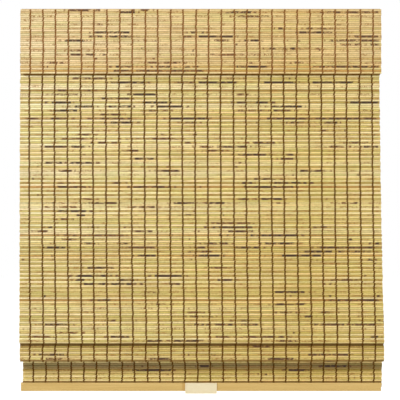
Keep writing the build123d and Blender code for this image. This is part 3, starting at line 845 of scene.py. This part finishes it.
def thread_material(name, light, dark):
    """Twisted cord, faded to the light colour in places."""
    g = Graph(bpy.data.materials.new(name))
    where = g.where()
    inputs = {"Vector": where, "Scale": 900.0, "Distortion": 3.0}
    twist = g.add("ShaderNodeTexWave", inputs).outputs["Fac"]
    faded = g.steps(g.noise(where, 60.0, 3.0), 0.4, 0.7, 0.0, 0.4)
    colour = g.mix(faded, g.mix(twist, light, dark), light)
    bump = g.bump(twist, 0.4, 0.0002)
    return g.shade(Base_Color=colour, Roughness=0.9, Specular_IOR_Level=0.05, Normal=bump)


def finish_material(name, light, dark, stretch, roughness, metallic, bump):
    """A finish with fine grain between two close colours, and painted shade over a span where it
    has one.
    """
    g = Graph(bpy.data.materials.new(name))
    where = g.where()
    light, dark = srgb(*light), srgb(*dark)
    grain = g.stretched(where, stretch, 5.0, 0.6)
    broad = g.stretched(where, tuple(s / BROAD for s in stretch))
    colour = g.mix(g.steps(grain, 0.3, 0.7), light, dark)
    colour = g.mix(g.steps(broad, 0.4, 0.75, 0.0, 0.5), colour, dark)
    # painted shade beside and under the handle
    if name in HANDLE_SHADE_SPANS:
        x = g.split(where)[0]
        left, right = HANDLE_SHADE_SPANS[name]
        starts = g.steps(x, left, left + SHADE_FADE)
        ends = g.steps(x, right, right - SHADE_FADE)
        colour = g.mix(g.math("MULTIPLY", starts, ends), colour, SHADE_TINT, "MULTIPLY")
    return g.shade(
        Base_Color=colour,
        Roughness=g.steps(grain, 0.2, 0.8, roughness - 0.06, roughness + 0.08),
        Metallic=metallic,
        Normal=g.bump(grain, bump, 0.0004),
    )


BAMBOO = bamboo_material()
CORD = thread_material("warp_cord", srgb(114, 74, 20), srgb(72, 42, 6))
RED_CORD = thread_material("warp_cord_red", srgb(156, 104, 54), srgb(104, 70, 30))


def make_main_weave(name, slats, body):
    data = MeshData()
    for k in slats:
        rng = random.Random(MAIN_LOOK_SEED + k)
        y = MAIN.hinges[k][0]
        kind = (PANEL_STREAKS, PANEL_SOLID_AND_PAINTED_LIGHT, (CREAM, OLIVE))
        add_slat(data, MAIN, k, slat_look(rng, k, y, *kind, main_ends(k), main_tint(k)), k)
    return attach(data.build(name, BAMBOO), body)


def make_valance_weave():
    data = MeshData()
    for k in range(VALANCE_SLATS):
        rng = random.Random(VALANCE_LOOK_SEED + k)
        y = VALANCE.hinges[k][0]
        kind = (VALANCE_STREAKS, VALANCE_SOLID, (VALANCE_CREAM, VALANCE_TAN))
        look = slat_look(rng, k, y, *kind, VALANCE_ENDS, UNTINTED)
        add_slat(data, VALANCE, k, look, VALANCE_NUMBER + k)
    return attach(data.build("valance_weave", BAMBOO), "head")


def make_warp(name, weave, first, last, sides, body, material=CORD):
    """The threads of part of a mat, with the cords that start in front, behind or both."""
    data = MeshData()
    for side in sides:
        for n in range(THREADS):
            add_strand(data, weave, first, last, n, side)
    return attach(data.build(name, material), body)


def make_shadow_cord():
    """A dark cord along the valance's lower edge: painted shadow, standing in for the shade under
    it.
    """
    data = MeshData()
    rise = Wander(random.Random(SHADOW_CORD_SEED), *SHADOW_CORD_WAVE)
    left, right = VALANCE_ENDS[0] + SHADOW_CORD_INSET[0], VALANCE_ENDS[1] - SHADOW_CORD_INSET[1]
    z = VALANCE_BOX[0].z - SHADOW_CORD_R * SHADOW_CORD_DROP
    turns = circle(SHADOW_CORD_SIDES)
    rings = []
    for n in range(SHADOW_CORD_SPANS + 1):
        x = left + (right - left) * n / SHADOW_CORD_SPANS
        size = SHADOW_CORD_R * (1.0 if n % 2 else SHADOW_CORD_NECK)
        middle = z + rise.at(x)
        rings.append([(x, VALANCE_Y + size * sin(t), middle + size * cos(t)) for t in turns])
    data.tube(rings)
    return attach(data.build("valance_shadow_cord", CORD), "head")


head_weave = make_main_weave("head_weave", range(0, FRONT_TOP), "head")
front_weave = make_main_weave("front_weave", range(FRONT_TOP, FRONT_END), "head")
fold_weave = make_main_weave("fold_weave", range(FRONT_END, SLATS), "rail")
valance_weave = make_valance_weave()
make_warp("head_warp", MAIN, 0, FRONT_TOP, (1, -1), "head")
front_warps = [
    make_warp(f"front_warp_{tag}", MAIN, FRONT_TOP, FRONT_END, (side,), "head")
    for tag, side in (("a", 1), ("b", -1))
]
make_warp("fold_warp", MAIN, FRONT_END, SLATS, (1, -1), "rail")
valance_warp = make_warp("valance_warp", VALANCE, 0, VALANCE_SLATS, (1, -1), "head", RED_CORD)
# painted shadow: a dark cord under the valance's lower edge
make_shadow_cord()
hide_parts("main_mat")
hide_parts("main_threads")
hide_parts("valance_mat")
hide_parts("valance_threads")

for piece in (front_weave, *front_warps):
    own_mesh(piece)

finishes = {name: finish_material(name, *values) for name, values in FINISHES.items()}
slot_of = {s["node"]: s["material_slot"] for s in frame["record"]["subparts"]}
for name, obj in frame["nodes"].items():
    if slot_of[name] in finishes:
        obj.data.materials.clear()
        obj.data.materials.append(finishes[slot_of[name]])


def make_world():
    """White to look at, and a dimmer white to be lit by."""
    world = bpy.data.worlds.new("studio")
    bpy.context.scene.world = world
    g = Graph(world)
    g.tree.nodes.clear()
    light = g.add("ShaderNodeBackground", {"Strength": SKY_LIGHT, "Color": WHITE}).outputs[0]
    white = g.add("ShaderNodeBackground", {"Strength": 1.0, "Color": WHITE}).outputs[0]
    mixed = g.add("ShaderNodeMixShader", {0: g.seen(), 1: light, 2: white}).outputs[0]
    g.add("ShaderNodeOutputWorld", {0: mixed})


def make_lamp(name, place, size, power):
    lamp = bpy.data.lights.new(name, "AREA")
    lamp.shape = "DISK"
    lamp.size = size
    lamp.energy = power
    obj = add_object(name, lamp)
    obj.location = place
    aim = Vector(LAMP_TARGET) - Vector(place)
    obj.rotation_euler = aim.to_track_quat("-Z", "Y").to_euler()


def make_floor():
    """A wide white floor below the shade, to catch no more than a faint shadow."""
    z = CAD_BOX[0][2] - FLOOR_DROP
    corners = ((-1, -1), (1, -1), (1, 1), (-1, 1))
    points = [(x * FLOOR_REACH, y * FLOOR_REACH, z) for x, y in corners]
    mesh = bpy.data.meshes.new("studio_floor")
    mesh.from_pydata(points, [], [(0, 1, 2, 3)])
    g = Graph(bpy.data.materials.new("studio_floor"))
    colour = g.mix(g.noise(g.where(), 3.0), srgb(246, 246, 245), srgb(250, 250, 249))
    material = g.shade(
        Base_Color=colour,
        Roughness=0.9,
        Emission_Color=WHITE,
        Emission_Strength=g.math("MULTIPLY", g.seen(), FLOOR_GLOW),
        Specular_IOR_Level=0.0,
    )
    mesh.materials.append(material)
    add_object("studio_floor", mesh)


def make_camera():
    """The photograph's camera, at its middle and level."""
    cam = bpy.data.cameras.new("camera")
    cam.sensor_width = SENSOR_MM
    cam.lens = SENSOR_MM * CAMERA_DISTANCE / (PHOTO_PX * PX)
    obj = add_object("camera", cam)
    obj.location = (column(PHOTO_PX / 2), CAMERA_Y, row(PHOTO_PX / 2))
    obj.rotation_euler = (pi / 2, 0, 0)
    bpy.context.scene.camera = obj


make_world()
for name, lamp in LAMPS.items():
    make_lamp(name, *lamp)
make_floor()
make_camera()
bpy.context.scene.view_settings.view_transform = "Standard"
